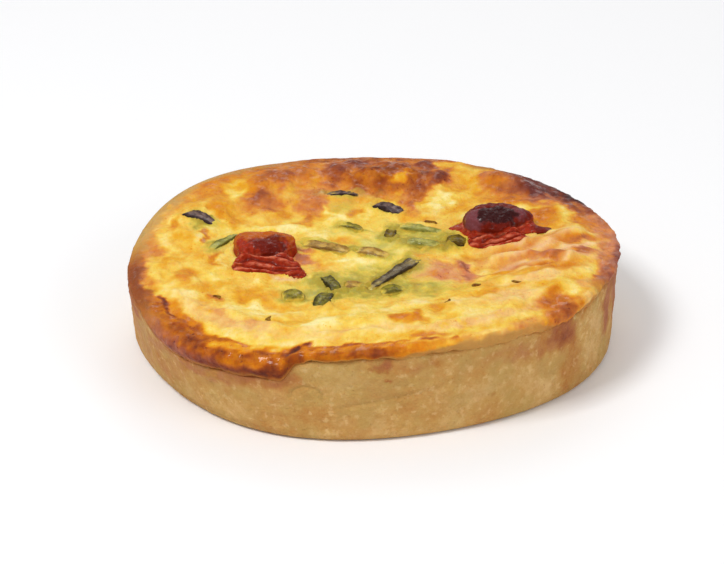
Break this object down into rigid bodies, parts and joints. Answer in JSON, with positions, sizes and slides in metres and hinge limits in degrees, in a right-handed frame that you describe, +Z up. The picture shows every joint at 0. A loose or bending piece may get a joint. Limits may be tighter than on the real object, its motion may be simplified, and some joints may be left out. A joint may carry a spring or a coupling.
{
  "type": "quiche",
  "caption": "Small round baked quiche: straight-sided shortcrust case, browned cheese and egg filling that laps over the rim, roasted cherry tomatoes and cut vegetables half sunk in the top.",
  "frame": {"origin": "middle of the flat underside, on the surface the quiche stands on", "axes": "+Z up through the top, -Y to the front that faces the camera in the picture, +X to the right"},
  "size_m": [0.1188, 0.117, 0.0268],
  "materials": {
    "pastry": "dry baked shortcrust, browned at the rim",
    "custard": "baked egg and melted cheese, browned in patches, slightly oily",
    "tomato": "roasted skin, wrinkled, charred on top",
    "aubergine": "roasted skin",
    "leek": "soft cooked leaf",
    "courgette": "soft cooked skin and flesh",
    "onion": "soft, part browned",
    "pepper": "soft cooked skin"
  },
  "bodies": {
    "root": {"pastry_case": "pastry", "filling": "custard", "tomato_left": "tomato", "tomato_right": "tomato", "aubergine_1": "aubergine", "aubergine_2": "aubergine", "aubergine_3": "aubergine", "courgette_back": "courgette", "onion_strip": "onion", "onion_ochre": "onion", "leek_left": "leek", "courgette_dark": "courgette", "courgette_square": "courgette", "courgette_clump": "courgette", "courgette_long": "courgette", "courgette_front": "courgette", "onion_bit": "onion", "pepper_middle": "pepper", "leek_right": "leek", "leek_middle": "leek", "pepper_right": "pepper"}
  },
  "joints": []
}
